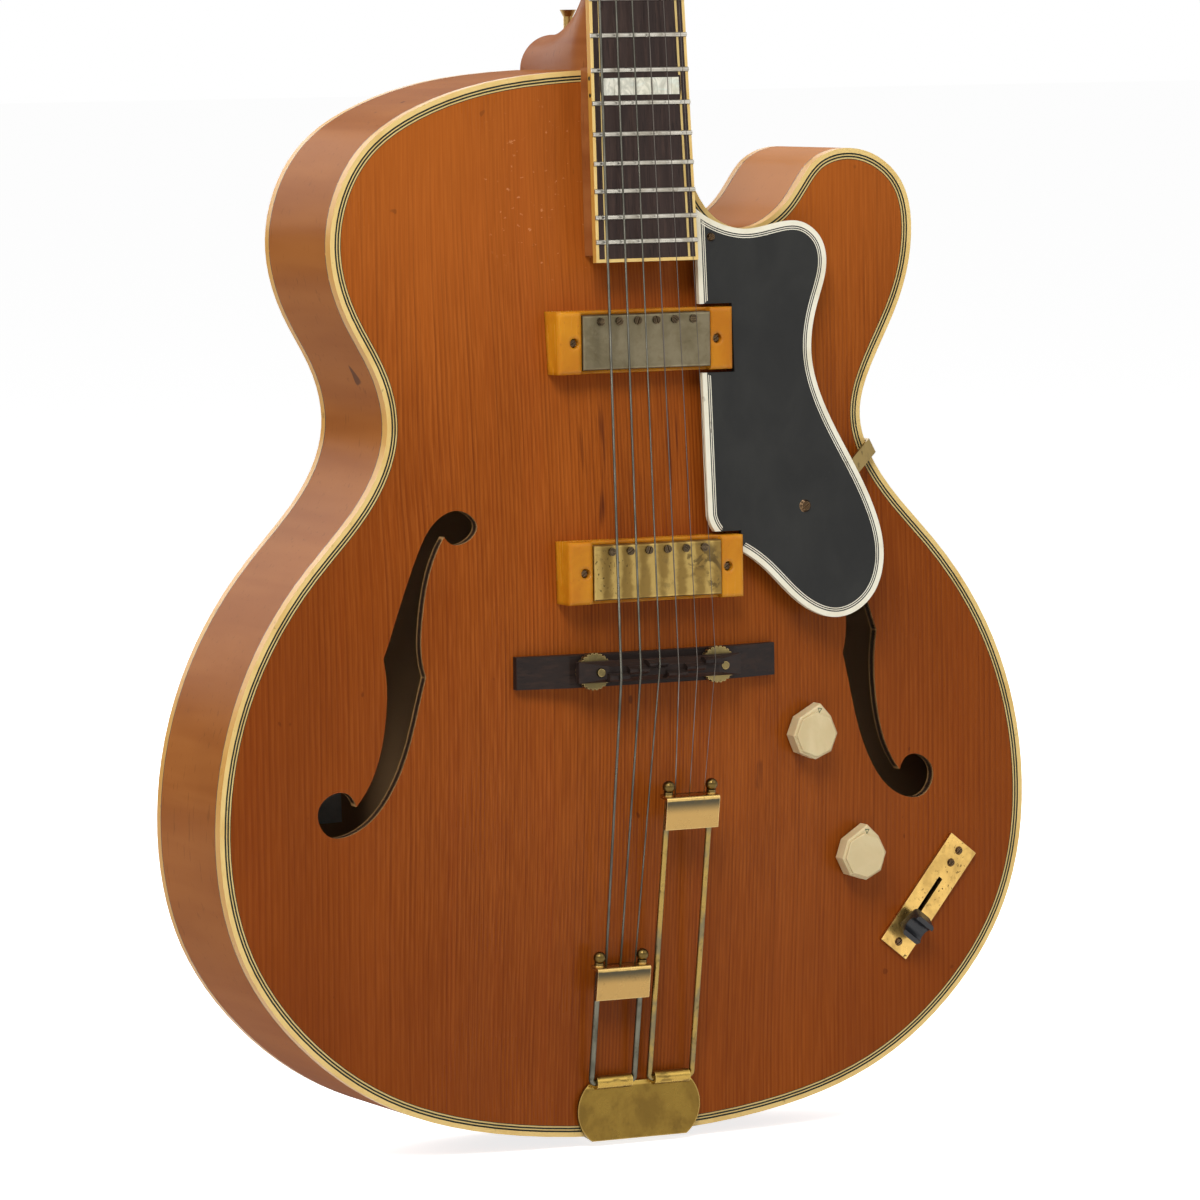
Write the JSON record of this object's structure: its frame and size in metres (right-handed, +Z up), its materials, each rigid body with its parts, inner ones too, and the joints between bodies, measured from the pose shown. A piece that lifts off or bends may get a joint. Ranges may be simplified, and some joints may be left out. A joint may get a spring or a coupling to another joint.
{
  "type": "archtop guitar",
  "caption": "Hollow-body archtop guitar with cutaway, two pickups, floating bridge, split trapeze tailpiece, f-holes and geared tuners.",
  "frame": {"origin": "tail end of the rim on the centreline at mid depth, where the end pin seats and the guitar stands in its rest", "axes": "+Z up along the body and neck, +X towards the treble side, +Y from the top towards the back"},
  "size_m": [0.45, 0.1368, 1.0746],
  "materials": {
    "spruce": "gloss lacquer",
    "maple": "gloss lacquer",
    "inner_wood": "raw",
    "rosewood": "satin",
    "binding": "gloss",
    "pearl": "pearl",
    "black_plastic": "satin",
    "amber_plastic": "gloss",
    "cream_plastic": "gloss",
    "gold": "worn gold plate",
    "steel": "satin"
  },
  "bodies": {
    "guitar": {"back_plate": "maple", "bass_strings": "steel", "body_binding": "binding", "bridge_base": "rosewood", "bridge_posts": "gold", "end_blocks": "inner_wood", "fingerboard": "rosewood", "fingerboard_binding": "binding", "fret_markers": "pearl", "frets": "steel", "headstock_veneer": "black_plastic", "heel_cap": "maple", "linings": "inner_wood", "neck": "maple", "nut": "binding", "output_jack": "steel", "pickguard": "black_plastic", "pickguard_binding": "binding", "pickguard_bracket": "gold", "pickup_coils": "black_plastic", "pickup_covers": "gold", "pickup_surrounds": "amber_plastic", "pole_screws": "gold", "potentiometers": "steel", "rim": "maple", "screws": "gold", "strap_buttons": "gold", "switch_frame": "steel", "switch_plate": "gold", "tailpiece_plate": "gold", "tone_bars": "inner_wood", "top_plate": "spruce", "treble_strings": "steel", "truss_rod": "steel", "tuner_bushings": "gold", "tuner_housings": "gold"},
    "bass_tail": {"bass_string_bar": "gold", "bass_trapeze": "gold"},
    "saddle": {"bridge_saddle": "rosewood"},
    "selector": {"selector_lever": "steel", "selector_tip": "black_plastic"},
    "wheel_bass": {"thumbwheel_bass": "gold"},
    "wheel_treble": {"thumbwheel_treble": "gold"},
    "tone": {"tone_knob": "cream_plastic"},
    "treble_tail": {"treble_string_bar": "gold", "treble_trapeze": "gold"},
    "key_1": {"tuner_key_1": "gold"},
    "key_2": {"tuner_key_2": "gold"},
    "key_3": {"tuner_key_3": "gold"},
    "key_4": {"tuner_key_4": "gold"},
    "key_5": {"tuner_key_5": "gold"},
    "key_6": {"tuner_key_6": "gold"},
    "post_1": {"tuner_post_1": "gold"},
    "post_2": {"tuner_post_2": "gold"},
    "post_3": {"tuner_post_3": "gold"},
    "post_4": {"tuner_post_4": "gold"},
    "post_5": {"tuner_post_5": "gold"},
    "post_6": {"tuner_post_6": "gold"},
    "volume": {"volume_knob": "cream_plastic"}
  },
  "joints": [
    {"name": "volume_turn", "type": "hinge", "parent": "guitar", "child": "volume", "pos_m": [0.0938, -0.039, 0.19769], "axis": [0, -1, 0], "range_deg": [-150, 150]},
    {"name": "tone_turn", "type": "hinge", "parent": "guitar", "child": "tone", "pos_m": [0.12519, -0.039, 0.13352], "axis": [0, -1, 0], "range_deg": [-150, 150]},
    {"name": "selector_swing", "type": "hinge", "parent": "guitar", "child": "selector", "pos_m": [0.16633, -0.019, 0.10634], "axis": [-0.7793, 0, 0.6266], "range_deg": [0, 54]},
    {"name": "saddle_lift", "type": "slide", "parent": "guitar", "child": "saddle", "axis": [0, -1, 0], "range_m": [-0.0015, 0.0025], "deforming": ["bass_strings", "treble_strings"]},
    {"name": "wheel_bass_turn", "type": "hinge", "parent": "saddle", "child": "wheel_bass", "pos_m": [-0.0345, -0.0629, 0.2372], "axis": [0, -1, 0], "range_deg": [-776, 1291]},
    {"name": "wheel_treble_turn", "type": "hinge", "parent": "saddle", "child": "wheel_treble", "pos_m": [0.0345, -0.0629, 0.2372], "axis": [0, -1, 0], "range_deg": [-776, 1291]},
    {"name": "bass_trapeze_swing", "type": "hinge", "parent": "guitar", "child": "bass_tail", "pos_m": [0, -0.045, 0.0285], "axis": [1, 0, 0], "range_deg": [-2, 4], "deforming": ["bass_strings"]},
    {"name": "treble_trapeze_swing", "type": "hinge", "parent": "guitar", "child": "treble_tail", "pos_m": [0, -0.045, 0.0285], "axis": [1, 0, 0], "range_deg": [-2, 4], "deforming": ["treble_strings"]},
    {"name": "tuner_key_1_turn", "type": "hinge", "parent": "guitar", "child": "key_1", "pos_m": [-0.023, 0.00538, 0.94135], "axis": [-1, 0, 0], "continuous": true},
    {"name": "tuner_post_1_turn", "type": "hinge", "parent": "guitar", "child": "post_1", "pos_m": [-0.023, -0.01522, 0.94113], "axis": [0, -0.9523, 0.3052], "continuous": true},
    {"name": "tuner_key_2_turn", "type": "hinge", "parent": "guitar", "child": "key_2", "pos_m": [-0.023, 0.0176, 0.97948], "axis": [-1, 0, 0], "continuous": true},
    {"name": "tuner_post_2_turn", "type": "hinge", "parent": "guitar", "child": "post_2", "pos_m": [-0.023, -0.003, 0.97926], "axis": [0, -0.9523, 0.3052], "continuous": true},
    {"name": "tuner_key_3_turn", "type": "hinge", "parent": "guitar", "child": "key_3", "pos_m": [-0.023, 0.02982, 1.01761], "axis": [-1, 0, 0], "continuous": true},
    {"name": "tuner_post_3_turn", "type": "hinge", "parent": "guitar", "child": "post_3", "pos_m": [-0.023, 0.00922, 1.01739], "axis": [0, -0.9523, 0.3052], "continuous": true},
    {"name": "tuner_key_4_turn", "type": "hinge", "parent": "guitar", "child": "key_4", "pos_m": [0.023, 0.02982, 1.01761], "axis": [1, 0, 0], "continuous": true},
    {"name": "tuner_post_4_turn", "type": "hinge", "parent": "guitar", "child": "post_4", "pos_m": [0.023, 0.00922, 1.01739], "axis": [0, -0.9523, 0.3052], "continuous": true},
    {"name": "tuner_key_5_turn", "type": "hinge", "parent": "guitar", "child": "key_5", "pos_m": [0.023, 0.0176, 0.97948], "axis": [1, 0, 0], "continuous": true},
    {"name": "tuner_post_5_turn", "type": "hinge", "parent": "guitar", "child": "post_5", "pos_m": [0.023, -0.003, 0.97926], "axis": [0, -0.9523, 0.3052], "continuous": true},
    {"name": "tuner_key_6_turn", "type": "hinge", "parent": "guitar", "child": "key_6", "pos_m": [0.023, 0.00538, 0.94135], "axis": [1, 0, 0], "continuous": true},
    {"name": "tuner_post_6_turn", "type": "hinge", "parent": "guitar", "child": "post_6", "pos_m": [0.023, -0.01522, 0.94113], "axis": [0, -0.9523, 0.3052], "continuous": true}
  ],
  "couplings": [
    {"joint": "tuner_post_1_turn", "follows": "tuner_key_1_turn", "ratio": 0.071429},
    {"joint": "tuner_post_2_turn", "follows": "tuner_key_2_turn", "ratio": 0.071429},
    {"joint": "tuner_post_3_turn", "follows": "tuner_key_3_turn", "ratio": 0.071429},
    {"joint": "tuner_post_4_turn", "follows": "tuner_key_4_turn", "ratio": -0.071429},
    {"joint": "tuner_post_5_turn", "follows": "tuner_key_5_turn", "ratio": -0.071429},
    {"joint": "tuner_post_6_turn", "follows": "tuner_key_6_turn", "ratio": -0.071429},
    {"joint": "wheel_bass_turn", "follows": "saddle_lift", "rad_per_m": 8976},
    {"joint": "wheel_treble_turn", "follows": "saddle_lift", "rad_per_m": 8976}
  ]
}
